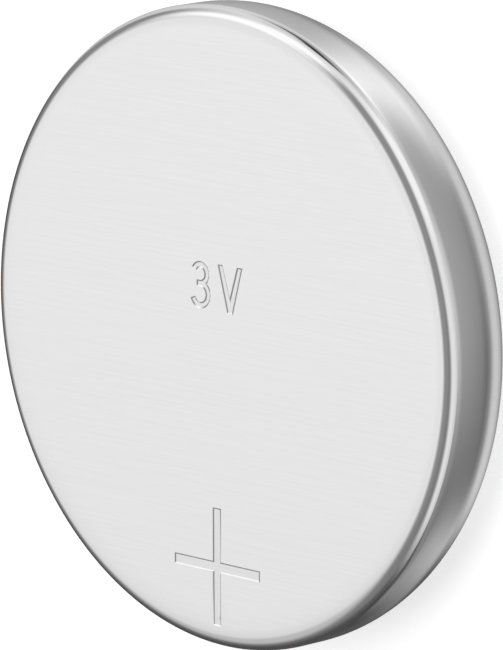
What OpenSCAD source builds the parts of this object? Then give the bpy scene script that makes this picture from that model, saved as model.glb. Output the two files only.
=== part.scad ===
// Lithium coin cell, 16 mm across and 3.2 mm high, in millimetres.
// It lies on its negative contact, the plane z = 0, with its axis on Z and its positive face on top.
// Each piece is one section turned about Z. A section is a list of [radius, height] points, and pieces
// that touch take their points from the same functions, so that they meet face to face.

/* [Cell] */
// Outer diameter of the cell
cell_d = 16; // [12:0.1:30]
// Height from the negative contact face to the positive face
cell_h = 3.2; // [2.9:0.1:5.4]

/* [Positive can] */
// Thickness of the can's sheet
can_wall = 0.25; // [0.2:0.01:0.3]
// Inside radius of the bend between the face and the side
face_bend_r = 0.05; // [0.02:0.01:0.2]
// Outside radius of the shoulder that draws the side in
shoulder_r = 1.75; // [1.5:0.05:1.9]
// Angle through which the shoulder turns before the lip takes over, in degrees
shoulder_turn = 68; // [60:1:74]
// Outside radius of the crimped lip
lip_r = 0.8; // [0.7:0.05:0.9]
// Angle by which the lip digs in past level, in degrees
lip_dig = 15; // [8:1:25]

/* [Negative cap] */
// Thickness of the cap's sheet
cap_wall = 0.25; // [0.2:0.01:0.28]
// Height by which the contact face stands proud of the crimped lip
cap_proud = 0.46; // [0.35:0.01:0.6]
// Outside radius of the bend around the contact face
contact_edge_r = 0.35; // [0.3:0.01:0.45]
// Radius of the hollow corner between the contact's wall and the step
step_corner_r = 0.15; // [0.1:0.01:0.2]
// Outside radius of the cap's shoulder, under the crimp
cap_shoulder_r = 0.6; // [0.55:0.01:0.65]

/* [Gasket] */
// Thickness between the can's wall and the cap's skirt
gasket_wall = 0.55; // [0.5:0.01:0.65]
// Thickness under the crimped lip
seal_t = 0.17; // [0.14:0.01:0.25]
// Width of the ring that shows between the lip and the contact
seal_w = 0.26; // [0.2:0.01:0.35]
// Depth of that ring's face below the lip
seal_depth = 0.1; // [0.05:0.01:0.13]
// Thickness of the gasket's floor, under the skirt's edge
gasket_floor_t = 0.35; // [0.25:0.01:0.45]
// Thickness of the low wall inside the skirt
gasket_inner_wall = 0.3; // [0.2:0.01:0.35]
// Depth of the groove that holds the skirt's edge
groove_depth = 0.3; // [0.2:0.01:0.5]

/* [Contents] */
// Thickness of the separator
separator_t = 0.2; // [0.15:0.01:0.25]
// Thickness of the collector ring's sheet
ring_t = 0.1; // [0.08:0.01:0.15]
// Height of the collector ring
ring_h = 1; // [0.6:0.05:1.05]
// Width of the collector ring's flange
ring_flange_w = 1.2; // [0.6:0.1:2]
// Chamfer on the pellet's lower edge
pellet_chamfer = 0.12; // [0.05:0.01:0.2]

/* [Clearances] */
// Gap between the collector ring and the gasket
ring_gap = 0.08; // [0.05:0.01:0.15]
// Gap between the separator's edge and the start of the cap's shoulder
separator_gap = 0.08; // [0.05:0.01:0.2]
// Gap between the lithium and the bend around the contact
lithium_gap = 0.2; // [0.1:0.01:0.4]
// Gap between the skirt and the low wall inside it
groove_gap = 0.03; // [0.02:0.01:0.06]

/* [Hidden] */
$fn = 160;

// Greatest distance between a bend and the straight steps that it is made of
bend_flaw = 0.0015;

// The can, from its face down to its crimped lip
can_ro = cell_d / 2;
can_ri = can_ro - can_wall;
can_floor_z = cell_h - can_wall;
face_edge_r = face_bend_r + can_wall;
face_edge_c = [can_ro - face_edge_r, cell_h - face_edge_r];
shoulder_drop = shoulder_r * sin(shoulder_turn) + lip_r * (1 - sin(shoulder_turn));
shoulder_c = [can_ro - shoulder_r, cap_proud + shoulder_drop];
lip_c = on_arc(shoulder_c, shoulder_r - lip_r, -shoulder_turn);
lip_end_a = -90 - lip_dig;
nose_r = can_wall / 2;
nose_c = on_arc(lip_c, lip_r - nose_r, lip_end_a);
nose_tip = on_arc(nose_c, nose_r, -180);

// The cap, from its contact face up to the edge of its skirt
contact_r = nose_tip[0] - seal_w;
contact_edge_c = [contact_r - contact_edge_r, contact_edge_r];
step_z = cap_proud + can_wall + seal_t;
step_corner_c = [contact_r + step_corner_r, step_z - step_corner_r];
skirt_ro = can_ri - gasket_wall;
skirt_ri = skirt_ro - cap_wall;
skirt_edge_z = can_floor_z - gasket_floor_t;
cap_shoulder_c = [skirt_ro - cap_shoulder_r, step_z + cap_shoulder_r];

// The gasket, where it shows and where it holds the skirt's edge
seal_z = cap_proud + seal_depth;
groove_ri = skirt_ri - groove_gap;
groove_low_z = skirt_edge_z - groove_depth;
gasket_ri = groove_ri - gasket_inner_wall;

// The contents, stacked without play between the cap's floor and the can's floor
lithium_r = contact_edge_c[0] - lithium_gap;
separator_z = step_z + cap_wall;
separator_r = cap_shoulder_c[0] - separator_gap;
pellet_z = separator_z + separator_t;
ring_ro = gasket_ri - ring_gap;
ring_ri = ring_ro - ring_t;
ring_flange_ri = ring_ro - ring_flange_w;
ring_z = can_floor_z - ring_h;

// The point at radius r and angle a from the centre c
function on_arc(c, r, a) = c + r * [cos(a), sin(a)];

// Points along an arc about c, from angle a0 to angle a1
function arc(c, r, a0, a1) =
    let (steps = ceil(abs(a1 - a0) / (2 * acos(1 - bend_flaw / r))))
    [for (i = [0:steps]) on_arc(c, r, a0 + (a1 - a0) * i / steps)];

// A list of points without its first, where another list ends on that one
function tail(points) = [for (i = [1:len(points) - 1]) points[i]];

// A list of points in the opposite order
function backwards(points) = [for (i = [len(points) - 1:-1:0]) points[i]];

// One side of the can's sheet, from the face's rim to the end of the lip; inset 0 is the outside
function can_side(inset) = concat(
    arc(face_edge_c, face_edge_r - inset, 90, 0),
    arc(shoulder_c, shoulder_r - inset, 0, -shoulder_turn),
    tail(arc(lip_c, lip_r - inset, -shoulder_turn, lip_end_a))
);

// The part of the lip's rounded edge that presses on the gasket, from its tip inwards
function nose_inside() = arc(nose_c, nose_r, -180, lip_end_a - 180);

// The part of the cap that the gasket grips: hollow corner, step and shoulder; inset 0 is the outside
function cap_grip(inset) = concat(
    arc(step_corner_c, step_corner_r + inset, 180, 90),
    arc(cap_shoulder_c, cap_shoulder_r - inset, -90, 0)
);

// One side of the cap's sheet, from the contact's rim to the end of its shoulder
function cap_side(inset) = concat(arc(contact_edge_c, contact_edge_r - inset, -90, 0), cap_grip(inset));

// Face, side, shoulder and crimped lip in one sheet, with the lip's edge rounded over
module positive_can() {
    section = concat(
        [[0, cell_h]],
        can_side(0),
        tail(arc(nose_c, nose_r, lip_end_a, -180)),
        tail(nose_inside()),
        tail(backwards(can_side(can_wall))),
        [[0, can_floor_z]]
    );
    color("gainsboro") rotate_extrude() polygon(section);
}

// One moulded ring: it lines the can, is squeezed between lip and cap, and holds the skirt in a groove
module gasket() {
    section = concat(
        can_side(can_wall),
        tail(backwards(nose_inside())),
        [[nose_tip[0], seal_z], [contact_r, seal_z]],
        cap_grip(0),
        [
            [skirt_ro, skirt_edge_z],
            [groove_ri, skirt_edge_z],
            [groove_ri, groove_low_z],
            [gasket_ri, groove_low_z],
            [gasket_ri, can_floor_z]
        ]
    );
    color("whitesmoke") rotate_extrude() polygon(section);
}

// Contact, step, shoulder and skirt in one pressed sheet
module negative_cap() {
    section = concat(
        [[0, 0]],
        cap_side(0),
        [[skirt_ro, skirt_edge_z], [skirt_ri, skirt_edge_z]],
        backwards(cap_side(cap_wall)),
        [[0, cap_wall]]
    );
    color("silver") rotate_extrude() polygon(section);
}

// Pressed powder, rebated on top for the ring's flange and chamfered below
module cathode_pellet() {
    section = [
        [0, pellet_z],
        [ring_ri - pellet_chamfer, pellet_z],
        [ring_ri, pellet_z + pellet_chamfer],
        [ring_ri, can_floor_z - ring_t],
        [ring_flange_ri, can_floor_z - ring_t],
        [ring_flange_ri, can_floor_z],
        [0, can_floor_z]
    ];
    color("darkslategray") rotate_extrude() polygon(section);
}

// An L-section collector: a wall around the pellet and a flange against the can's floor
module cathode_ring() {
    section = [
        [ring_ri, ring_z],
        [ring_ro, ring_z],
        [ring_ro, can_floor_z],
        [ring_flange_ri, can_floor_z],
        [ring_flange_ri, can_floor_z - ring_t],
        [ring_ri, can_floor_z - ring_t]
    ];
    color("lightsteelblue") rotate_extrude() polygon(section);
}

module separator() {
    color("ivory") translate([0, 0, separator_z]) cylinder(h = separator_t, r = separator_r);
}

module lithium_disc() {
    color("lightgray") translate([0, 0, cap_wall]) cylinder(h = separator_z - cap_wall, r = lithium_r);
}

positive_can();
gasket();
negative_cap();
cathode_pellet();
cathode_ring();
separator();
lithium_disc();
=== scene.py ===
"""A lithium coin cell, 16 mm across and 3.2 mm high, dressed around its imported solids.

Sizes in the classes are in millimetres and angles in degrees; meshes are put into the scene in metres.
The cell lies on its negative contact, the plane z = 0, with its axis on Z and its positive face on top.
"""

import logging
import math
from dataclasses import dataclass, field
from enum import Enum

import bmesh
import bpy
import numpy as np
from mathutils import Matrix, Vector
from mathutils.geometry import delaunay_2d_cdt


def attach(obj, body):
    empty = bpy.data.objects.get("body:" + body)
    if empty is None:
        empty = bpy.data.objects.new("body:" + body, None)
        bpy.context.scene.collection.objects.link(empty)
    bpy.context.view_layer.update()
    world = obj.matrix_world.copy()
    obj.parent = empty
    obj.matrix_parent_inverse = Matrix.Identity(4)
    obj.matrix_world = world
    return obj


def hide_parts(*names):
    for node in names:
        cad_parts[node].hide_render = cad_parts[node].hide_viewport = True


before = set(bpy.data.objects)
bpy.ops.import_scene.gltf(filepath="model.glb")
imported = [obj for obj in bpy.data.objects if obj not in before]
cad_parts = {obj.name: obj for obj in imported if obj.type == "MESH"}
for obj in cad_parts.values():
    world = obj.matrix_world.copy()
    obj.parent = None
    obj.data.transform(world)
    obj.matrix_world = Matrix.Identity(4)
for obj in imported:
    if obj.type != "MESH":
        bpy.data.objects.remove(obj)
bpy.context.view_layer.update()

MM = 0.001
BODY = "root"
WHITE = (1, 1, 1, 1)

# Steps in a whole turn
TURN_STEPS = 360
# Greatest angles between the points of an arc, in general and on the arcs that are named
ARC_STEP = 4.0
SHOULDER_STEP = 2.5
LETTER_STEP = 8.0
HOLLOW_STEP = 9.0
BEND_STEP = 15.0
# An edge that turns by more than this many degrees stays sharp
SHARP_ANGLE = 28.0
# Points closer than this many metres are merged
MERGE_GAP = 1e-7
# The triangulation's kind, the triangles inside the rim, and the least distance between its points
FILL_INSIDE = 1
FILL_GAP = 1e-6
# A corner with less recess than the first lies on the face, and with more than the second on a mark's floor
ON_FACE = 0.1
ON_FLOOR = 0.9

GRAIN_GROUP = "fine_grain"
# Size of the drift's noise over the grain's
DRIFT_SIZE = 0.1
# Values of the noise that stand for its lowest and highest
GRAIN_RANGE = (0.3, 0.7)

log = logging.getLogger("coin_cell")


def on_arc(centre: tuple[float, float], radius: float, angle: float) -> tuple[float, float]:
    """The point at an angle on a circle: centre plus radius times (cosine, sine)."""
    turn = math.radians(angle)
    return centre[0] + radius * math.cos(turn), centre[1] + radius * math.sin(turn)


def arc(
    centre: tuple[float, float], radius: float, start: float, end: float, step: float = ARC_STEP,
) -> np.ndarray:
    """Points along an arc: centre plus radius times (cosine, sine) of evenly spaced angles.

    Args:
        centre: Centre of the arc.
        radius: Its radius.
        start: Angle of the first point, in degrees.
        end: Angle of the last point, in degrees.
        step: Greatest angle between two points, in degrees.

    Returns:
        One row for each point, both ends among them.
    """
    count = max(2, math.ceil(abs(end - start) / step))
    angles = np.radians(np.linspace(start, end, count + 1))
    return np.column_stack((centre[0] + radius * np.cos(angles), centre[1] + radius * np.sin(angles)))


def towards(azimuth: float, elevation: float) -> tuple[float, float, float]:
    """The unit vector (cos a cos e, sin a cos e, sin e) at azimuth a and elevation e."""
    turn, rise = math.radians(azimuth), math.radians(elevation)
    return math.cos(turn) * math.cos(rise), math.sin(turn) * math.cos(rise), math.sin(rise)


def way_round(azimuth: np.ndarray, start: float = 0.0) -> np.ndarray:
    """The shorter way round from a start to each azimuth, between -180 and 180 degrees."""
    return (azimuth - start + 180) % 360 - 180


def smooth_ramp(value: np.ndarray, low: float, high: float) -> np.ndarray:
    """Rises from 0 at low to 1 at high as 3t^2 - 2t^3, and is level beyond both."""
    t = np.clip((value - low) / (high - low), 0, 1)
    return t * t * (3 - 2 * t)


def round_quads(rows: int, steps: int, closed: bool) -> np.ndarray:
    """The quads of a grid whose rows run round: (i, j), (i, j + 1), (i + 1, j + 1) and (i + 1, j).

    Args:
        rows: Rows of points.
        steps: Points in a row, the last of which joins the first.
        closed: Whether the last row joins the first.

    Returns:
        One row of four indices for each quad.
    """
    index = np.arange(rows * steps).reshape(rows, steps)
    here = index if closed else index[:-1]
    after = np.roll(index, -1, axis=0) if closed else index[1:]
    return np.stack((here, np.roll(here, -1, axis=1), np.roll(after, -1, axis=1), after), -1).reshape(-1, 4)


def turned(section: np.ndarray, closed: bool) -> tuple[np.ndarray, np.ndarray]:
    """Turns a section about Z: point (i, j) is (r_i cos a_j, r_i sin a_j, z_i).

    Args:
        section: Rows of (radius, height) along the section.
        closed: Whether its last point joins its first.

    Returns:
        The points, and the quads that join neighbouring points both ways.
    """
    turn = np.linspace(0, 2 * np.pi, TURN_STEPS, endpoint=False)
    radius = section[:, :1]
    height = np.broadcast_to(section[:, 1:], (len(section), TURN_STEPS))
    grid = np.stack((radius * np.cos(turn), radius * np.sin(turn), height), -1)
    return grid.reshape(-1, 3), round_quads(len(section), TURN_STEPS, closed)


def inset(outline: np.ndarray, distance: float) -> np.ndarray:
    """Moves each side of an outline inwards by a distance and keeps the corners mitred.

    A corner moves along the sum of its two sides' inward normals, over one plus their dot product.

    Args:
        outline: Rows of (x, y), counterclockwise.
        distance: How far in, or out where it is negative.

    Returns:
        The moved outline, with as many rows.
    """
    side = np.roll(outline, -1, axis=0) - outline
    side /= np.linalg.norm(side, axis=1, keepdims=True)
    normal = np.column_stack((-side[:, 1], side[:, 0]))
    before = np.roll(normal, 1, axis=0)
    spread = 1 + np.sum(normal * before, axis=1, keepdims=True)
    return outline + distance * (normal + before) / spread


def inside_distance(points: np.ndarray, outline: np.ndarray) -> np.ndarray:
    """How far inside a closed outline each point is: its least distance to any side, or zero outside.

    A point is inside where a line from it towards greater X crosses the outline an odd number of times.

    Args:
        points: Rows of (x, y).
        outline: Rows of (x, y) round the outline.

    Returns:
        One distance for each point.
    """
    start, end = outline, np.roll(outline, -1, axis=0)
    side = end - start
    offset = points[:, None, :] - start[None]
    along = np.clip(np.sum(offset * side, -1) / np.sum(side * side, -1), 0, 1)
    gap = np.linalg.norm(offset - along[..., None] * side, axis=-1).min(axis=1)
    level = points[:, 1:2]
    crosses = (start[:, 1] > level) != (end[:, 1] > level)
    rise = np.where(side[:, 1] == 0, 1.0, side[:, 1])
    where = start[:, 0] + (level - start[:, 1]) / rise * side[:, 0]
    inside = np.sum(crosses & (points[:, :1] < where), axis=1) % 2 == 1
    return np.where(inside, gap, 0.0)


def plain_mesh(name: str, points: np.ndarray, faces: list[list[int]]) -> bpy.types.Mesh:
    """Makes a mesh in metres from its points and faces.

    Args:
        name: Name of the mesh.
        points: Rows of (x, y, z) in millimetres.
        faces: Index lists, with any number of corners.

    Returns:
        The mesh.
    """
    mesh = bpy.data.meshes.new(name)
    mesh.from_pydata((points * MM).tolist(), [], faces)
    return mesh


def shell_mesh(name: str, points: np.ndarray, faces: list[list[int]]) -> bpy.types.Mesh:
    """Makes a closed, merged mesh whose faces point outwards, smooth but for its real corners.

    Args:
        name: Name of the mesh.
        points: Rows of (x, y, z) in millimetres.
        faces: Index lists, with any number of corners.

    Returns:
        The mesh.
    """
    mesh = plain_mesh(name, points, faces)
    body = bmesh.new()
    body.from_mesh(mesh)
    bmesh.ops.remove_doubles(body, verts=body.verts, dist=MERGE_GAP)
    bmesh.ops.recalc_face_normals(body, faces=body.faces)
    body.to_mesh(mesh)
    body.free()
    mesh.shade_smooth()
    mesh.set_sharp_from_angle(angle=math.radians(SHARP_ANGLE))
    return mesh


def read_all(
    items: bpy.types.bpy_prop_collection, name: str, width: int = 1, kind: type = float,
) -> np.ndarray:
    """Reads one property of every item of a mesh.

    Args:
        items: The mesh's vertices, loops or polygons.
        name: Property to read.
        width: How many numbers the property has.
        kind: Kind of number.

    Returns:
        A number for each item, or a row where the property has several.
    """
    values = np.zeros(len(items) * width, dtype=kind)
    items.foreach_get(name, values)
    return values if width == 1 else values.reshape(-1, width)


def store(mesh: bpy.types.Mesh, name: str, domain: str, values: np.ndarray) -> None:
    """Stores a number for each point or face of a mesh, for its material to read.

    Args:
        mesh: Mesh that gets the attribute.
        name: Name of the attribute.
        domain: POINT or FACE.
        values: The numbers, in the mesh's order.
    """
    layer = mesh.attributes.new(name, "FLOAT", domain)
    layer.data.foreach_set("value", values.reshape(-1).astype(np.float32))


def place(name: str, data: bpy.types.ID) -> bpy.types.Object:
    """Links a mesh, a lamp or a camera into the scene.

    Args:
        name: Name of the object.
        data: What the object holds.

    Returns:
        The object, at the origin.
    """
    piece = bpy.data.objects.new(name, data)
    bpy.context.scene.collection.objects.link(piece)
    return piece


def dress_node(piece: bpy.types.Object, node: str) -> bpy.types.Object:
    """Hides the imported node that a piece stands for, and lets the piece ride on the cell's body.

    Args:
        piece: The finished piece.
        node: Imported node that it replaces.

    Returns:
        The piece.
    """
    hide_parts(node)
    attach(piece, BODY)
    return piece


def empty_material(name: str) -> tuple[bpy.types.Material, bpy.types.NodeTree]:
    """Makes a material without any nodes.

    Args:
        name: Name of the material.

    Returns:
        The material and its node tree.
    """
    made = bpy.data.materials.new(name)
    made.use_nodes = True
    made.node_tree.nodes.clear()
    return made, made.node_tree


def add_node(
    tree: bpy.types.NodeTree, kind: str, settings: dict[str, object] | None = None, **inputs: object,
) -> bpy.types.Node:
    """Adds a shader node, sets its properties and fills its inputs.

    Args:
        tree: Node tree that gets the node.
        kind: Blender's name for the node, without its ShaderNode start.
        settings: Properties of the node itself.
        inputs: Input names, with _ for a space, or in_N for input N; a socket is linked and a value is set.

    Returns:
        The node.
    """
    node = tree.nodes.new(kind if kind.startswith("Node") else "ShaderNode" + kind)
    for key, value in (settings or {}).items():
        setattr(node, key, value)
    for key, value in inputs.items():
        socket = node.inputs[int(key[3:])] if key.startswith("in_") else node.inputs[key.replace("_", " ")]
        if isinstance(value, bpy.types.NodeSocket):
            tree.links.new(value, socket)
        else:
            socket.default_value = value
    return node


def reckon(tree: bpy.types.NodeTree, operation: str, *values: object) -> bpy.types.NodeSocket:
    """Adds a Math node.

    Args:
        tree: Node tree that gets the node.
        operation: Blender's name for the operation.
        values: Its inputs, in order.

    Returns:
        The result's socket.
    """
    inputs = {f"in_{number}": value for number, value in enumerate(values)}
    return add_node(tree, "Math", {"operation": operation}, **inputs).outputs[0]


def mix(tree: bpy.types.NodeTree, part: object, first: object, second: object) -> bpy.types.NodeSocket:
    """Mixes two numbers: the first where the part is 0, and the second where it is 1.

    Args:
        tree: Node tree that gets the node.
        part: Part of the second in the mix.
        first: First number.
        second: Second number.

    Returns:
        The result's socket.
    """
    return add_node(tree, "Mix", {"data_type": "FLOAT"}, in_0=part, in_2=first, in_3=second).outputs[0]


def mix_colours(
    tree: bpy.types.NodeTree, part: object, first: object, second: object, blend: str = "MIX",
) -> bpy.types.NodeSocket:
    """Mixes two colours: the first where the part is 0, and the blend of both where it is 1.

    Args:
        tree: Node tree that gets the node.
        part: Part of the blend in the mix.
        first: First colour.
        second: Second colour.
        blend: Blender's name for the blend; MIX takes the second colour alone.

    Returns:
        The result's socket.
    """
    settings = {"data_type": "RGBA", "blend_type": blend}
    return add_node(tree, "Mix", settings, in_0=part, in_6=first, in_7=second).outputs[2]


def attribute(tree: bpy.types.NodeTree, name: str) -> bpy.types.NodeSocket:
    """The socket that gives a mesh's attribute as a number."""
    return add_node(tree, "Attribute", {"attribute_name": name}).outputs["Fac"]


class Grain(Enum):
    """Which way the marks of a finish run, as the stretch of its noise along X, Y and Z."""

    ALONG_X = (0.08, 3.0, 3.0)
    EVEN = (1.0, 1.0, 1.0)


def grain_group() -> bpy.types.NodeTree:
    """Builds the group that all finishes share: a fine grain that may be stretched one way, and a slow drift.

    The grain is noise on object coordinates times Stretch; the drift is noise ten times as coarse.

    Returns:
        A node group with inputs Size and Stretch, and outputs Grain and Drift, both about 0 to 1.
    """
    tree = bpy.data.node_groups.new(GRAIN_GROUP, "ShaderNodeTree")
    tree.interface.new_socket("Size", in_out="INPUT", socket_type="NodeSocketFloat")
    tree.interface.new_socket("Stretch", in_out="INPUT", socket_type="NodeSocketVector")
    tree.interface.new_socket("Grain", in_out="OUTPUT", socket_type="NodeSocketFloat")
    tree.interface.new_socket("Drift", in_out="OUTPUT", socket_type="NodeSocketFloat")
    start = add_node(tree, "NodeGroupInput")
    spot = add_node(tree, "TexCoord").outputs["Object"]
    stretched = add_node(
        tree, "VectorMath", {"operation": "MULTIPLY"}, in_0=spot, in_1=start.outputs["Stretch"],
    ).outputs[0]
    size = start.outputs["Size"]
    fine = add_node(tree, "TexNoise", Vector=stretched, Scale=size, Detail=4.0, Roughness=0.6)
    drift_size = reckon(tree, "MULTIPLY", size, DRIFT_SIZE)
    coarse = add_node(tree, "TexNoise", Vector=stretched, Scale=drift_size, Detail=2.0)
    end = add_node(tree, "NodeGroupOutput")
    tree.links.new(fine.outputs["Fac"], end.inputs["Grain"])
    tree.links.new(coarse.outputs["Fac"], end.inputs["Drift"])
    return tree


@dataclass(frozen=True)
class Finish:
    """A finish whose tone, roughness and bump all follow one grain.

    The tone goes from dark to light, and the roughness from low to high, by the grain with a share of
    its slow drift. On the face, painted shade darkens the tone: the attribute recess multiplies it by
    recess_shade_tone in the marks, and edge_shade multiplies it by edge_shade_tone on each mark's
    shaded edge. The attribute polish brings tone and roughness to rim_tone and rim_rough.
    """

    name: str
    dark: tuple[float, float, float]
    light: tuple[float, float, float]
    rough: tuple[float, float]
    metallic: float
    grain: Grain = Grain.EVEN
    grain_size: float = 2000.0
    bump: float = 0.1
    bump_depth: float = 0.002
    drift: float = 0.35
    recess_shade_tone: float = 1.0
    edge_shade_tone: float = 1.0
    rim_tone: float = 0.0
    rim_rough: float = 0.0
    sheen: float = 0.0

    def material(self) -> bpy.types.Material:
        """Builds the finish's material.

        Returns:
            A new material, whose grain comes from the shared group.
        """
        made, tree = empty_material(self.name)
        group = bpy.data.node_groups.get(GRAIN_GROUP) or grain_group()
        grain = add_node(tree, "Group", {"node_tree": group}, Size=self.grain_size, Stretch=self.grain.value)
        blend = mix(tree, self.drift, grain.outputs["Grain"], grain.outputs["Drift"])
        colour = mix_colours(tree, blend, (*self.dark, 1), (*self.light, 1))
        # Painted shade on the face: the marks' floors come out slightly darker, and each mark's wall and face
        # strip on the side of greatest X come out dark.
        if self.recess_shade_tone != 1.0:
            for name, level in (("recess", self.recess_shade_tone), ("edge_shade", self.edge_shade_tone)):
                tone = (level, level, level, 1)
                colour = mix_colours(tree, attribute(tree, name), colour, tone, "MULTIPLY")
        rough = add_node(
            tree, "MapRange", Value=blend, From_Min=GRAIN_RANGE[0], From_Max=GRAIN_RANGE[1],
            To_Min=self.rough[0], To_Max=self.rough[1],
        ).outputs[0]
        if self.rim_tone:
            polish = attribute(tree, "polish")
            colour = mix_colours(tree, polish, colour, (self.rim_tone, self.rim_tone, self.rim_tone, 1))
            rough = mix(tree, polish, rough, self.rim_rough)
        bump = add_node(
            tree, "Bump", Strength=self.bump, Distance=self.bump_depth * MM, Height=grain.outputs["Grain"],
        )
        shader = add_node(
            tree, "BsdfPrincipled", Base_Color=colour, Roughness=rough, Normal=bump.outputs[0],
            Metallic=self.metallic,
        )
        if self.sheen:
            shader.inputs["Sheen Weight"].default_value = self.sheen
        add_node(tree, "OutputMaterial", Surface=shader.outputs[0])
        return made


# The face steel's recess and wall tones are painted shade: slightly darker mark floors, and a dark line along
# each mark's side of greatest X.
FACE_STEEL = Finish(
    "face_steel", dark=(0.8, 0.8, 0.8), light=(0.895, 0.895, 0.895), rough=(0.2, 0.225), metallic=1.0,
    grain=Grain.ALONG_X, grain_size=6000.0, bump=0.12, bump_depth=0.001, drift=0.1,
    recess_shade_tone=0.95, edge_shade_tone=0.28, rim_tone=0.77, rim_rough=0.08,
)
SIDE_STEEL = Finish(
    "side_steel", dark=(0.75, 0.75, 0.75), light=(0.79, 0.79, 0.79), rough=(0.06, 0.1), metallic=1.0,
    bump=0.03,
)
CAP_STEEL = Finish(
    "cap_steel", dark=(0.68, 0.68, 0.68), light=(0.76, 0.76, 0.76), rough=(0.2, 0.28), metallic=1.0,
    bump=0.04,
)
RING_STEEL = Finish(
    "ring_steel", dark=(0.6, 0.6, 0.6), light=(0.7, 0.7, 0.7), rough=(0.25, 0.4), metallic=1.0,
)
SEAL_PLASTIC = Finish(
    "seal_plastic", dark=(0.76, 0.76, 0.72), light=(0.84, 0.84, 0.8), rough=(0.38, 0.5), metallic=0.0,
)
PELLET_POWDER = Finish(
    "pellet_powder", dark=(0.02, 0.02, 0.021), light=(0.075, 0.075, 0.077), rough=(0.8, 0.95), metallic=0.0,
    bump=0.5, bump_depth=0.01,
)
SEPARATOR_FELT = Finish(
    "separator_felt", dark=(0.74, 0.73, 0.69), light=(0.9, 0.89, 0.86), rough=(0.8, 0.95), metallic=0.0,
    grain_size=3500.0, bump=0.5, bump_depth=0.01, sheen=0.3,
)
LITHIUM_METAL = Finish(
    "lithium_metal", dark=(0.48, 0.49, 0.52), light=(0.68, 0.69, 0.71), rough=(0.4, 0.6), metallic=1.0,
    grain_size=900.0, bump=0.2,
)


@dataclass
class FaceMarks:
    """The shallow pressed marks on the positive face: a plus sign and the voltage.

    A mark's wall slopes from the outline to the floor over the width that wall gives. The edge is a
    narrow strip of face outside the outline, and far_side is the normal's X below which a wall gets
    painted shade. The strip of face beside such a wall gets painted shade too.
    In the 3, the lower bowl's radius is low_bowl times the height less a stroke, and the bowls end at
    the angles top_end and low_end. The V's foot reaches vee_foot strokes to each side of its middle.
    """

    depth: float = 0.02
    wall: float = 0.032
    edge: float = 0.02
    far_side: float = -0.2
    plus_centre: tuple[float, float] = (0.025, -5.94)
    plus_arm: float = 2.98
    plus_bar: float = 0.27
    text_centre: tuple[float, float] = (0.0, 1.07)
    text_height: float = 1.18
    text_shift: float = 0.52
    stroke: float = 0.16
    low_bowl: float = 0.27
    top_end: float = 155.0
    low_end: float = -160.0
    middle_bar: float = 0.12
    vee_half: float = 0.42
    vee_foot: float = 0.55

    def plus(self) -> np.ndarray:
        """The plus sign, from twelve corners at half the bar's width and half the arm's length.

        Returns:
            Rows of (x, y) on the face, counterclockwise.
        """
        long, half = self.plus_arm / 2, self.plus_bar / 2
        corners = [
            (half, half), (half, long), (-half, long), (-half, half), (-long, half), (-long, -half),
            (-half, -half), (-half, -long), (half, -long), (half, -half), (long, -half), (long, half),
        ]
        return np.array(corners) + self.plus_centre

    def three(self) -> np.ndarray:
        """The digit 3: two bowls, one on the other, that share a short bar in the middle.

        Each bowl is a ring of the stroke's width. The outer arcs end where they cross, at the height
        (b^2 - a^2 + u^2 - l^2) / 2(u - l) for outer radii a and b about heights u and l.

        Returns:
            Rows of (x, y) about the digit's middle, counterclockwise.
        """
        half = self.stroke / 2
        path = self.text_height - self.stroke
        low_r = path * self.low_bowl
        top_r = path * 0.5 - low_r
        low_c = (0.0, -self.text_height / 2 + half + low_r)
        top_c = (0.0, self.text_height / 2 - half - top_r)
        a, b = top_r + half, low_r + half
        cross_y = (b * b - a * a + top_c[1] ** 2 - low_c[1] ** 2) / (2 * (top_c[1] - low_c[1]))
        top_cross = math.degrees(math.asin((cross_y - top_c[1]) / a))
        low_cross = math.degrees(math.asin((cross_y - low_c[1]) / b))
        bar_top, bar_low = top_c[1] - top_r + half, low_c[1] + low_r - half
        return np.concatenate((
            arc(low_c, b, self.low_end, low_cross, LETTER_STEP),
            arc(top_c, a, top_cross, self.top_end, LETTER_STEP)[1:],
            arc(top_c, top_r - half, self.top_end, -90, LETTER_STEP),
            [(-self.middle_bar, bar_top), (-self.middle_bar, bar_low)],
            arc(low_c, low_r - half, 90, self.low_end, LETTER_STEP),
        ))

    def vee(self) -> np.ndarray:
        """The letter V, from seven corners: two strokes that meet in a flat foot.

        A stroke's lean is its way aside over its height. Measured along X, the leaning stroke is wider
        than across, by the square root of one plus its lean squared.

        Returns:
            Rows of (x, y) about the letter's middle, counterclockwise.
        """
        half, top = self.text_height / 2, self.vee_half
        foot = self.stroke * self.vee_foot
        lean = (top - foot / 2) / self.text_height
        width = self.stroke * math.hypot(1, lean)
        crotch = -half + (width - foot / 2) / lean
        return np.array([
            (-foot, -half), (foot, -half), (top, half), (top - width, half), (0.0, crotch),
            (-top + width, half), (-top, half),
        ])

    def outlines(self) -> list[np.ndarray]:
        """Every mark on the face.

        Returns:
            One counterclockwise outline for each mark.
        """
        shift = np.array((self.text_shift, 0.0))
        centre = np.array(self.text_centre)
        return [self.plus(), self.three() + centre - shift, self.vee() + centre + shift]

    def recess(self, points: np.ndarray) -> np.ndarray:
        """How deep points lie in the marks: their way in from an outline over the wall's width, at most 1.

        Args:
            points: Rows of (x, y) on the face.

        Returns:
            A number for each point, from 0 on the face to 1 on a mark's floor.
        """
        deepest = np.zeros(len(points))
        for outline in self.outlines():
            deepest = np.maximum(deepest, np.clip(inside_distance(points, outline) / self.wall, 0, 1))
        return deepest


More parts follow.
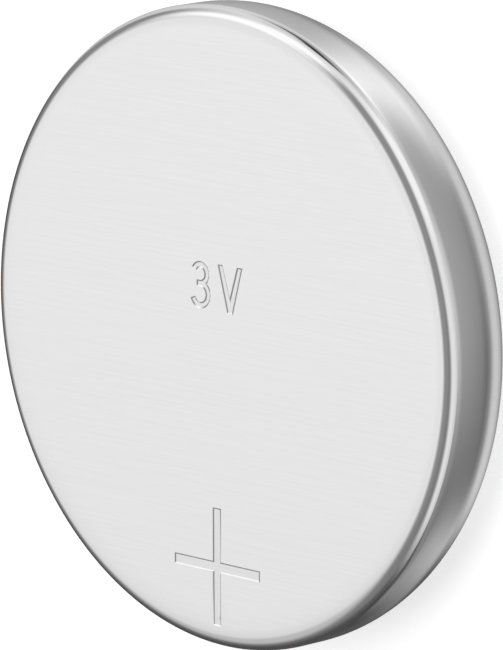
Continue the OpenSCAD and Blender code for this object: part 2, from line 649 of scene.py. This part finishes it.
@dataclass
class PositiveCan:
    """The cup: flat face, side, drawn-in shoulder and crimped lip in one sheet.

    The face's last part rolls down slightly and meets a soft bend, and its finish turns from brushed to
    polished from polish_start on. Rings of points near the rim carry the roll.
    """

    outer_r: float = 8.0
    top_z: float = 3.2
    wall: float = 0.25
    edge_r: float = 0.3
    bend_width: float = 0.4
    bend_drop: float = 0.37
    bend_power: float = 2.11
    bend_start: float = 2.5
    bend_points: int = 36
    shoulder_r: float = 1.75
    shoulder_turn: float = 68.0
    lip_r: float = 0.8
    lip_dig: float = 15.0
    lip_z: float = 0.46
    roll_start: float = 6.8
    roll_angle: float = 2.6
    polish_start: float = 7.4
    first_ring: float = 0.01
    second_ring: float = 0.06
    ring_step: float = 0.08
    face_margin: float = 0.001
    marks: FaceMarks = field(default_factory=FaceMarks)

    def __post_init__(self) -> None:
        """Works out the inside of the sheet and the centres of the bends, as the part's source does."""
        self.inner_r = self.outer_r - self.wall
        self.floor_z = self.top_z - self.wall
        self.inner_bend = self.edge_r - self.wall
        self.inner_bend_c = (self.inner_r - self.inner_bend, self.floor_z - self.inner_bend)
        sine = math.sin(math.radians(self.shoulder_turn))
        self.shoulder_c = (
            self.outer_r - self.shoulder_r,
            self.lip_z + self.shoulder_r * sine + self.lip_r * (1 - sine),
        )
        self.lip_c = on_arc(self.shoulder_c, self.shoulder_r - self.lip_r, -self.shoulder_turn)
        self.nose_r = self.wall / 2
        self.lip_end = -90 - self.lip_dig
        self.nose_c = on_arc(self.lip_c, self.lip_r - self.nose_r, self.lip_end)
        self.rim_r = self.outer_r - self.bend_width + float(self.bend()[0, 0])

    def bend(self) -> np.ndarray:
        """The bend from the face to the side.

        It is a superellipse: width times sin(t)^(2/n) out and drop times cos(t)^(2/n) up, for power n.

        Returns:
            Rows of way out and way up from the bend's centre.
        """
        t = np.radians(np.linspace(self.bend_start, 90.0, self.bend_points))
        out, up = np.sin(t) ** (2 / self.bend_power), np.clip(np.cos(t), 0, 1) ** (2 / self.bend_power)
        return np.column_stack((self.bend_width * out, self.bend_drop * up))

    def roll(self, radius: np.ndarray) -> np.ndarray:
        """How far the face has rolled down: its slope grows as the square of the way to the rim.

        Args:
            radius: Distances from the axis.

        Returns:
            The drop at each distance, tan(angle) times width times way^3 / 3.
        """
        width = self.rim_r - self.roll_start
        way = np.clip((radius - self.roll_start) / width, 0, 1)
        return math.tan(math.radians(self.roll_angle)) * width * way**3 / 3

    def section(self) -> np.ndarray:
        """The section without the face: arcs from its rim, round the lip, to the axis inside.

        Returns:
            Rows of (radius, height).
        """
        rim_z = self.top_z - float(self.roll(np.array(self.rim_r)))
        edge = self.bend()
        edge = edge + (self.outer_r - self.bend_width, rim_z - edge[0, 1])
        return np.concatenate((
            edge,
            arc(self.shoulder_c, self.shoulder_r, 0, -self.shoulder_turn, SHOULDER_STEP),
            arc(self.lip_c, self.lip_r, -self.shoulder_turn, self.lip_end)[1:],
            arc(self.nose_c, self.nose_r, self.lip_end, self.lip_end - 180, BEND_STEP)[1:],
            arc(self.lip_c, self.lip_r - self.wall, self.lip_end, -self.shoulder_turn)[1:],
            arc(self.shoulder_c, self.shoulder_r - self.wall, -self.shoulder_turn, 0)[1:],
            arc(self.inner_bend_c, self.inner_bend, 0, 90, BEND_STEP),
            [(0.0, self.floor_z)],
        ))

    def face(self) -> tuple[np.ndarray, np.ndarray]:
        """Fills the face: a triangulation of the rim, rings near it and the marks' outlines.

        The height is the top less the roll at that radius, less the marks' depth times the recess.

        Returns:
            The points, and the triangles between them.
        """
        turn = np.linspace(0, 2 * np.pi, TURN_STEPS, endpoint=False)
        circle = np.column_stack((np.cos(turn), np.sin(turn)))
        loops = [circle * self.rim_r]
        for outline in self.marks.outlines():
            # The loop just outside each outline bounds the strip of face that gets painted shade beside the
            # mark.
            loops += [inset(outline, -self.marks.edge), outline, inset(outline, self.marks.wall)]
        rest_of_rings = np.arange(self.rim_r - self.second_ring, self.roll_start, -self.ring_step)
        rings = [circle * radius for radius in (self.rim_r - self.first_ring, *rest_of_rings)]
        edges, start = [], 0
        for loop in loops:
            index = np.arange(start, start + len(loop))
            edges += np.column_stack((index, np.roll(index, -1))).tolist()
            start += len(loop)
        flat = [Vector(point) for point in np.concatenate(loops + rings).tolist()]
        filled = delaunay_2d_cdt(flat, edges, [], FILL_INSIDE, FILL_GAP)
        points, triangles = np.array([tuple(point) for point in filled[0]]), np.array(filled[2])
        drop = self.roll(np.hypot(points[:, 0], points[:, 1]))
        height = self.top_z - drop - self.marks.depth * self.marks.recess(points)
        return np.column_stack((points, height)), triangles

    def build(self) -> bpy.types.Object:
        """Builds and dresses the can.

        Returns:
            The piece, with the face's finish on the face and the side's finish on the rest.
        """
        side_points, side_quads = turned(self.section(), closed=False)
        face_points, triangles = self.face()
        points = np.concatenate((side_points, face_points))
        faces = side_quads.tolist() + (triangles + len(side_points)).tolist()
        mesh = shell_mesh("positive_can_shell", points, faces)
        self.mark(mesh)
        mesh.materials.append(SIDE_STEEL.material())
        mesh.materials.append(FACE_STEEL.material())
        middle = read_all(mesh.polygons, "center", 3) / MM
        lowest = self.top_z - self.marks.depth - self.roll(np.array(self.rim_r)) - self.face_margin
        on_face = (middle[:, 2] > lowest) & (np.hypot(middle[:, 0], middle[:, 1]) < self.rim_r)
        mesh.polygons.foreach_set("material_index", on_face.astype(np.int32))
        return dress_node(place("can_shell", mesh), "positive_can")

    def mark(self, mesh: bpy.types.Mesh) -> None:
        """Stores where the face is polished, how deep it lies in a mark, and where a mark's edge gets painted
        shade.

        Args:
            mesh: The can's mesh.
        """
        spots = read_all(mesh.vertices, "co", 3) / MM
        on_top = spots[:, 2] > self.top_z - self.wall / 2
        recess = np.zeros(len(spots))
        recess[on_top] = self.marks.recess(spots[on_top, :2])
        polish = smooth_ramp(np.hypot(spots[:, 0], spots[:, 1]), self.polish_start, self.rim_r)
        store(mesh, "polish", "POINT", polish)
        store(mesh, "recess", "POINT", recess)
        # Painted shade: a dark line along each mark's side of greatest X, on its wall and on the face beside
        # it.
        store(mesh, "edge_shade", "FACE", self.painted_shade_edges(mesh, recess))

    def painted_shade_edges(self, mesh: bpy.types.Mesh, recess: np.ndarray) -> np.ndarray:
        """Finds each mark's painted-shade edge: its wall on the side of greatest X, and the strip of face
        beside it.

        A wall's corners reach from the face to the mark's floor. The strip would lie in the mark if it
        were moved by its own width towards lesser X.

        Args:
            mesh: The can's mesh.
            recess: How deep each of its points lies in a mark.

        Returns:
            Whether each face gets painted shade.
        """
        corners = read_all(mesh.loops, "vertex_index", kind=np.int32)
        starts = read_all(mesh.polygons, "loop_start", kind=np.int32)
        shallow = np.minimum.reduceat(recess[corners], starts)
        deep = np.maximum.reduceat(recess[corners], starts)
        normal_x = read_all(mesh.polygons, "normal", 3)[:, 0]
        # Painted shade goes on these walls, which face lesser X, and on the strip of face beside them.
        wall = (shallow < ON_FACE) & (deep > ON_FLOOR) & (normal_x < self.marks.far_side)
        middle = read_all(mesh.polygons, "center", 3) / MM
        flat = np.flatnonzero((middle[:, 2] > self.top_z - self.wall / 2) & (deep == 0))
        beside = np.zeros(len(middle), dtype=bool)
        beside[flat] = self.marks.recess(middle[flat, :2] - (self.marks.edge, 0.0)) > 0
        return wall | beside


@dataclass
class Seal:
    """The cap and the gasket around it, which share the cap's step and shoulder."""

    can: PositiveCan
    cap_wall: float = 0.25
    contact_edge_r: float = 0.35
    contact_margin: float = 0.05
    corner_r: float = 0.15
    cap_shoulder_r: float = 0.6
    gasket_wall: float = 0.55
    seal_t: float = 0.17
    seal_w: float = 0.26
    seal_depth: float = 0.1
    floor_t: float = 0.35
    inner_wall: float = 0.3
    groove_depth: float = 0.3
    groove_gap: float = 0.03

    def __post_init__(self) -> None:
        """Works out the radii and heights that the two pieces share."""
        self.contact_r = self.can.nose_c[0] - self.can.nose_r - self.seal_w
        self.contact_c = (self.contact_r - self.contact_edge_r, self.contact_edge_r)
        self.step_z = self.can.lip_z + self.can.wall + self.seal_t
        self.corner_c = (self.contact_r + self.corner_r, self.step_z - self.corner_r)
        self.skirt_r = self.can.inner_r - self.gasket_wall
        self.skirt_z = self.can.floor_z - self.floor_t
        self.shoulder_c = (self.skirt_r - self.cap_shoulder_r, self.step_z + self.cap_shoulder_r)

    def cap_grip(self, depth: float) -> np.ndarray:
        """The part of the cap's sheet that the gasket grips: arcs of its hollow corner and its shoulder.

        Args:
            depth: Depth in the sheet, 0 on its outside.

        Returns:
            Rows of (radius, height).
        """
        return np.concatenate((
            arc(self.corner_c, self.corner_r + depth, 180, 90, HOLLOW_STEP),
            arc(self.shoulder_c, self.cap_shoulder_r - depth, -90, 0),
        ))

    def cap_side(self, depth: float) -> np.ndarray:
        """The cap's sheet from the contact's rim to the end of its shoulder.

        Args:
            depth: Depth in the sheet, 0 on its outside.

        Returns:
            Rows of (radius, height).
        """
        rim = arc(self.contact_c, self.contact_edge_r - depth, -90, 0)
        return np.concatenate((rim, self.cap_grip(depth)))

    def cap_section(self) -> np.ndarray:
        """The cap's section, from the contact's centre out to the skirt's edge and back inside to the axis.

        Returns:
            Rows of (radius, height), with one more near the contact's rim to keep the shading flat.
        """
        return np.concatenate((
            [(0.0, 0.0), (self.contact_c[0] - self.contact_margin, 0.0)],
            self.cap_side(0.0),
            [(self.skirt_r, self.skirt_z), (self.skirt_r - self.cap_wall, self.skirt_z)],
            self.cap_side(self.cap_wall)[::-1],
            [(0.0, self.cap_wall)],
        ))

    def gasket_section(self) -> np.ndarray:
        """The gasket's section: against the can, under the lip, round the cap and round its skirt's edge.

        Returns:
            Rows of (radius, height) round the closed section.
        """
        can = self.can
        groove_r = self.skirt_r - self.cap_wall - self.groove_gap
        groove_z = self.skirt_z - self.groove_depth
        gasket_r = groove_r - self.inner_wall
        seal_z = can.lip_z + self.seal_depth
        return np.concatenate((
            arc(can.inner_bend_c, can.inner_bend, 90, 0, BEND_STEP),
            arc(can.shoulder_c, can.shoulder_r - can.wall, 0, -can.shoulder_turn),
            arc(can.lip_c, can.lip_r - can.wall, -can.shoulder_turn, can.lip_end)[1:],
            arc(can.nose_c, can.nose_r, can.lip_end - 180, -180, BEND_STEP)[1:],
            [(can.nose_c[0] - can.nose_r, seal_z), (self.contact_r, seal_z)],
            self.cap_grip(0.0),
            [
                (self.skirt_r, self.skirt_z), (groove_r, self.skirt_z), (groove_r, groove_z),
                (gasket_r, groove_z), (gasket_r, can.floor_z),
            ],
        ))

    def build(self) -> list[bpy.types.Object]:
        """Builds and dresses the cap and the gasket.

        Returns:
            The two pieces.
        """
        cap = self.turn_piece("cap_shell", self.cap_section(), False, CAP_STEEL)
        ring = self.turn_piece("gasket_ring", self.gasket_section(), True, SEAL_PLASTIC)
        dress_node(cap, "negative_cap")
        dress_node(ring, "gasket")
        return [cap, ring]

    @staticmethod
    def turn_piece(name: str, section: np.ndarray, closed: bool, finish: Finish) -> bpy.types.Object:
        """Turns a section into a piece with a finish.

        Args:
            name: Name of the piece.
            section: Rows of (radius, height).
            closed: Whether the section is a closed loop.
            finish: The piece's finish.

        Returns:
            The piece.
        """
        points, quads = turned(section, closed)
        mesh = shell_mesh(name, points, quads.tolist())
        mesh.materials.append(finish.material())
        return place(name, mesh)


@dataclass
class Contents:
    """The pieces inside the sealed cell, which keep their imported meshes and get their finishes."""

    finishes: dict[str, Finish] = field(default_factory=lambda: {
        "cathode_pellet": PELLET_POWDER,
        "cathode_ring": RING_STEEL,
        "separator": SEPARATOR_FELT,
        "lithium_disc": LITHIUM_METAL,
    })

    def build(self) -> list[bpy.types.Object]:
        """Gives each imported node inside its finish.

        Returns:
            The nodes' objects.
        """
        dressed = []
        for node, finish in self.finishes.items():
            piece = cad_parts[node]
            piece.data.materials.clear()
            piece.data.materials.append(finish.material())
            dressed.append(piece)
        return dressed


@dataclass(frozen=True)
class Patch:
    """A round patch of the surroundings with a brightness of its own, seen in a direction.

    It has its full level up to the angle full from its centre, and fades out at the angle none.
    """

    azimuth: float
    elevation: float
    full: float
    none: float
    level: float


@dataclass(frozen=True)
class Zone:
    """A zone of the card around an azimuth that is paler or darker than the rest."""

    centre: float
    width: float
    change: float

    def gain(self, azimuth: np.ndarray) -> np.ndarray:
        """The change times a bell curve, exp(-(way / width)^2), of the way round from the centre."""
        return self.change * np.exp(-(way_round(azimuth, self.centre) / self.width) ** 2)


@dataclass
class Studio:
    """The pale floor, the soft surroundings and the card that shape the reflections in the metal.

    The card has a level at each of its radii, and each set of zones starts or ends over a ramp of radii.
    The ramp aside_from counts degrees away from the camera's azimuth, and behind_from and behind_to are
    azimuths themselves.
    """

    floor_half: float = 1500.0
    floor_z: float = -0.005
    floor_tone: float = 0.7
    floor_glow: float = 0.58
    wall_level: float = 0.96
    horizon_level: float = 0.74
    horizon_height: float = 0.41
    patches: tuple[Patch, ...] = (
        Patch(119.1, 12.9, 0.3, 4.7, 0.59),
        Patch(136.8, 12.7, 4.5, 10.0, 0.03),
        Patch(149.4, 12.9, 11.4, 41.4, 0.91),
        Patch(170.0, 9.1, 14.9, 42.7, 0.31),
        Patch(207.6, -23.4, 27.7, 53.9, 0.17),
        Patch(-112.0, 10.0, 26.2, 56.2, 0.12),
        Patch(-138.0, 26.0, 7.0, 16.4, 0.03),
        Patch(218.5, 66.9, 42.8, 68.3, 0.25),
        Patch(163.2, 67.5, 28.4, 56.9, 0.33),
        Patch(145.0, 39.6, 6.9, 26.6, 1.3),
        Patch(191.7, 50.2, 11.8, 34.0, 0.99),
        Patch(223.5, 35.5, 4.0, 25.0, 0.62),
        Patch(98.0, 0.0, 6.5, 12.0, 0.03),
        Patch(117.7, 35.9, 5.5, 20.0, 1.3),
        Patch(54.9, 23.6, 11.6, 31.0, 1.15),
    )
    card_z: float = 0.005
    card_grid: tuple[int, int] = (100, 180)
    card_radii: tuple[float, ...] = (
        6.7, 7.3, 7.6, 7.95, 8.3, 8.7, 9.2, 9.9, 10.5, 11.0, 13.0, 20.0, 40.0, 150.0, 1400.0,
    )
    card_levels: tuple[float, ...] = (
        0.18, 0.32, 0.67, 0.73, 0.72, 0.43, 0.32, 0.37, 0.44, 0.49, 0.56, 0.62, 0.67, 0.7, 0.72,
    )
    card_range: tuple[float, float] = (0.03, 1.3)
    all_round: tuple[Zone, ...] = (
        Zone(-35.0, 32.0, -0.44),
        Zone(-42.0, 17.0, -0.08),
        Zone(-82.0, 14.0, -1.0),
        Zone(67.0, 12.0, 1.39),
        Zone(95.0, 39.0, 0.6),
        Zone(54.0, 36.0, -0.14),
    )
    all_round_from: tuple[float, float] = (8.2, 9.2)
    near_foot: tuple[Zone, ...] = (
        Zone(-44.0, 12.0, 2.28),
        Zone(49.0, 12.0, 1.36),
        Zone(-2.0, 17.0, -0.29),
    )
    near_foot_to: tuple[float, float] = (9.2, 10.6)
    far_off: tuple[Zone, ...] = (
        Zone(74.0, 25.0, -0.55),
        Zone(-62.0, 11.0, -0.69),
        Zone(16.0, 40.0, 0.19),
    )
    far_off_from: tuple[float, float] = (11.0, 16.0)
    horizon: tuple[Zone, ...] = (Zone(98.0, 10.0, -0.97),)
    horizon_from: tuple[float, float] = (14.0, 24.0)
    camera_azimuth: float = 15.0
    aside_from: tuple[float, float] = (40.0, 70.0)
    aside_losses: tuple[float, float] = (0.59, 0.85)
    behind_from: tuple[float, float] = (148.0, 172.0)
    behind_to: tuple[float, float] = (275.0, 300.0)
    behind_level: float = 0.09
    key_size: float = 180.0
    key_energy: float = 0.42
    key_direction: tuple[float, float, float] = (0.35, 0.25, 0.9)
    key_distance: float = 400.0

    def floor(self) -> bpy.types.Object:
        """Makes the floor: a pale matt plane, raised to white for camera, gloss and glass by a plain glow.

        From below the camera sees through it, so that the cell's underside shows.

        Returns:
            The floor.
        """
        half, low = self.floor_half, self.floor_z
        corners = np.array([(-half, -half, low), (half, -half, low), (half, half, low), (-half, half, low)])
        mesh = plain_mesh("floor", corners, [[0, 1, 2, 3]])
        made, tree = empty_material("pale_floor")
        matt = add_node(tree, "BsdfDiffuse", Color=(self.floor_tone, self.floor_tone, self.floor_tone, 1))
        path = add_node(tree, "LightPath").outputs
        seen = reckon(tree, "MAXIMUM", path["Is Camera Ray"], path["Is Glossy Ray"])
        seen = reckon(tree, "MAXIMUM", seen, path["Is Transmission Ray"])
        level = reckon(tree, "MULTIPLY", seen, self.floor_glow)
        glow = add_node(tree, "Emission", Color=WHITE, Strength=level)
        both = add_node(tree, "AddShader", in_0=matt.outputs[0], in_1=glow.outputs[0])
        from_below = add_node(tree, "NewGeometry").outputs["Backfacing"]
        below = reckon(tree, "MULTIPLY", from_below, path["Is Camera Ray"])
        clear = add_node(tree, "BsdfTransparent")
        shown = add_node(tree, "MixShader", in_0=below, in_1=both.outputs[0], in_2=clear.outputs[0])
        add_node(tree, "OutputMaterial", Surface=shown.outputs[0])
        mesh.materials.append(made)
        piece = place("floor", mesh)
        return piece

    def card_shade(self, radius: np.ndarray, azimuth: np.ndarray) -> np.ndarray:
        """How bright the card is at a radius and an azimuth.

        The radius gives a level between stops. Zones over the azimuth then make it paler or darker,
        near the cell's foot, farther off or both, and the side away from the camera is dark.

        Args:
            radius: Distance from the axis, in millimetres.
            azimuth: Direction from the axis, in degrees between -180 and 180.

        Returns:
            The level at each place, where 1 is white.
        """
        level = np.interp(np.log(radius), np.log(self.card_radii), self.card_levels)
        outer = smooth_ramp(radius, *self.all_round_from)
        reaches = (
            (outer, self.all_round),
            (outer * (1 - smooth_ramp(radius, *self.near_foot_to)), self.near_foot),
            (smooth_ramp(radius, *self.far_off_from), self.far_off),
            (smooth_ramp(radius, *self.horizon_from), self.horizon),
        )
        for reach, zones in reaches:
            level = level * (1 + reach * sum(zone.gain(azimuth) for zone in zones))
        way = way_round(azimuth, self.camera_azimuth)
        loss = np.where(way > 0, *self.aside_losses) * smooth_ramp(np.abs(way), *self.aside_from)
        level = level * (1 - loss * (1 - outer))
        turn = azimuth % 360
        behind = smooth_ramp(turn, *self.behind_from) * (1 - smooth_ramp(turn, *self.behind_to))
        return np.clip(level, *self.card_range) * (1 - behind) + self.behind_level * behind

    def card(self) -> bpy.types.Object:
        """Makes the grey card: a flat ring of points (r cos a, r sin a), each with its own brightness.

        It lies round the cell's foot and shows only in reflections.

        Returns:
            The card.
        """
        rows, steps = self.card_grid
        radius = np.geomspace(self.card_radii[0], self.card_radii[-1], rows)
        turn = np.linspace(0, 2 * np.pi, steps, endpoint=False)
        r, a = np.meshgrid(radius, turn, indexing="ij")
        points = np.stack((r * np.cos(a), r * np.sin(a), np.full_like(r, self.card_z)), -1).reshape(-1, 3)
        facing_up = round_quads(rows, steps, closed=False)[:, [0, 3, 2, 1]]
        mesh = plain_mesh("grey_card", points, facing_up.tolist())
        store(mesh, "shade", "POINT", self.card_shade(r, way_round(np.degrees(a))))
        made, tree = empty_material("grey_card")
        glow = add_node(tree, "Emission", Color=WHITE, Strength=attribute(tree, "shade"))
        add_node(tree, "OutputMaterial", Surface=glow.outputs[0])
        mesh.materials.append(made)
        piece = place("grey_card", mesh)
        piece.visible_camera = False
        piece.visible_diffuse = False
        piece.visible_shadow = False
        piece.visible_transmission = False
        return piece

    def surroundings(self) -> None:
        """Fills the world with a soft studio: walls that grow paler with height, and soft round patches.

        The angle between a direction and a patch's centre decides how much of the patch it meets, and
        each patch lies over those before it. The camera itself sees plain white.
        """
        world = bpy.data.worlds.new("studio")
        bpy.context.scene.world = world
        world.use_nodes = True
        tree = world.node_tree
        tree.nodes.clear()
        way = add_node(tree, "TexCoord").outputs["Generated"]
        height = add_node(tree, "SeparateXYZ", Vector=way).outputs["Z"]
        level = add_node(
            tree, "MapRange", Value=height, From_Min=0.0, From_Max=self.horizon_height,
            To_Min=self.horizon_level, To_Max=self.wall_level,
        ).outputs[0]
        for patch in self.patches:
            centre = towards(patch.azimuth, patch.elevation)
            facing = add_node(tree, "VectorMath", {"operation": "DOT_PRODUCT"}, in_0=way, in_1=centre)
            angle = reckon(tree, "ARCCOSINE", facing.outputs["Value"])
            part = add_node(
                tree, "MapRange", {"interpolation_type": "SMOOTHSTEP"}, Value=angle,
                From_Min=math.radians(patch.full), From_Max=math.radians(patch.none), To_Min=1.0, To_Max=0.0,
            )
            level = mix(tree, part.outputs[0], level, patch.level)
        level = mix(tree, add_node(tree, "LightPath").outputs["Is Camera Ray"], level, 1.0)
        back = add_node(tree, "Background", Color=WHITE, Strength=level)
        add_node(tree, "OutputWorld", Surface=back.outputs[0])

    def key(self) -> bpy.types.Object:
        """Hangs the soft key lamp high above the cell, a little towards the camera.

        Returns:
            The lamp, turned towards the cell and left out of reflections.
        """
        lamp = bpy.data.lights.new("key", "AREA")
        lamp.shape = "DISK"
        lamp.size = self.key_size * MM
        lamp.energy = self.key_energy
        piece = place("key", lamp)
        direction = Vector(self.key_direction).normalized()
        piece.location = direction * self.key_distance * MM
        piece.rotation_euler = direction.to_track_quat("Z", "Y").to_euler()
        piece.visible_glossy = False
        return piece

    def build(self) -> list[bpy.types.Object]:
        """Builds the whole studio and returns its objects."""
        self.surroundings()
        return [self.floor(), self.card(), self.key()]


@dataclass
class Camera:
    """The photograph's viewpoint, fitted to the cell's outline.

    It looks at a point beside the face's centre, moved by aside and above in the picture's own plane.
    """

    azimuth: float = 15.42
    elevation: float = 43.54
    up: tuple[float, float, float] = (-0.1349, 0.9812, -0.1377)
    distance: float = 158.27
    aside: float = 0.8931
    above: float = 0.1334
    lens: float = 358.28
    aim_z: float = 3.2
    clip_start: float = 0.01

    def build(self) -> bpy.types.Object:
        """Makes the camera.

        Returns:
            The camera, at its distance from the point that it looks at.
        """
        back = Vector(towards(self.azimuth, self.elevation))
        right = Vector(self.up).cross(back).normalized()
        up = back.cross(right)
        aim = Vector((0, 0, self.aim_z)) + right * self.aside + up * self.above
        data = bpy.data.cameras.new("camera")
        data.lens = self.lens
        data.clip_start = self.clip_start
        piece = place("camera", data)
        facing = Matrix((right, up, back)).transposed()
        piece.matrix_world = Matrix.Translation((aim + back * self.distance) * MM) @ facing.to_4x4()
        bpy.context.scene.camera = piece
        return piece


def main() -> None:
    """Builds the sub-assemblies in order."""
    logging.basicConfig(level=logging.INFO, format="%(message)s")
    bpy.context.scene.view_settings.view_transform = "Standard"
    Camera().build()
    can = PositiveCan()
    pieces = [can.build(), *Seal(can).build(), *Contents().build()]
    for piece in pieces:
        log.info("%s: %d faces", piece.name, len(piece.data.polygons))
    for piece in Studio().build():
        log.info("studio: %s", piece.name)


if __name__ == "__main__":
    main()
